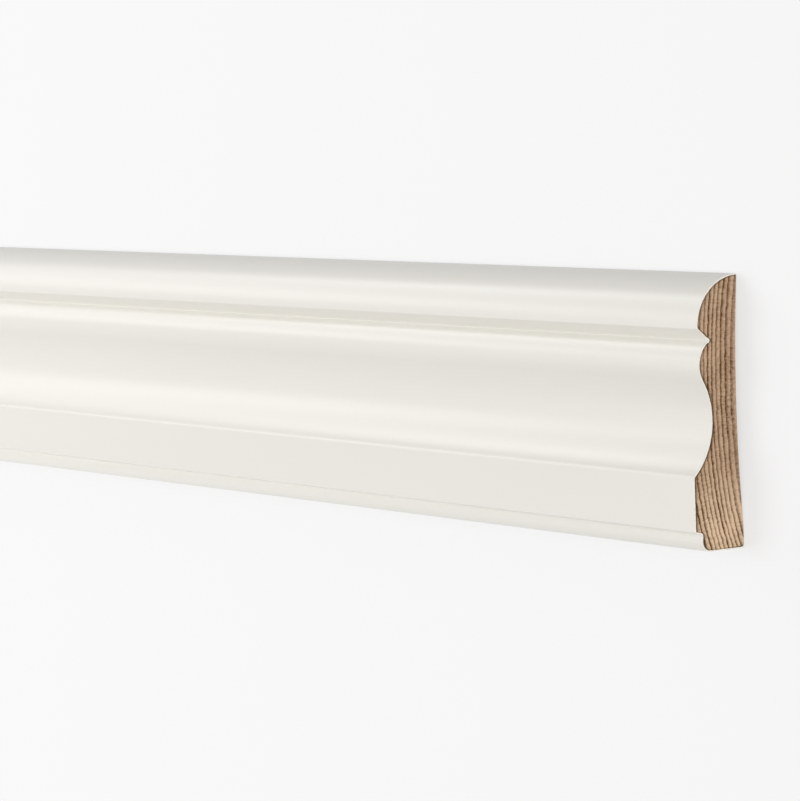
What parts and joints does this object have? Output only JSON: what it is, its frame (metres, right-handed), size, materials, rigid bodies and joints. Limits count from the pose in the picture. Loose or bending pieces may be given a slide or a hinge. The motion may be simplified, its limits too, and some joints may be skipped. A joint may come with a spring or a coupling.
{
  "type": "architrave",
  "caption": "Painted pine architrave moulding with an ovolo edge, a quirk, a bead and cove ogee, a flat band and a stepped nosing, sold as a straight length.",
  "frame": {"origin": "middle of the back plane that touches the wall, half way along the length and the width", "axes": "+X along the length, +Y across the width towards the ovolo edge, +Z out of the wall through the moulded face"},
  "size_m": [2.2, 0.095, 0.021],
  "materials": {
    "painted_pine": "satin warm white paint on the moulded face and edges, bare sawn pine at the ends, bare planed pine on the back"
  },
  "bodies": {
    "root": {"architrave": "painted_pine"}
  },
  "joints": []
}
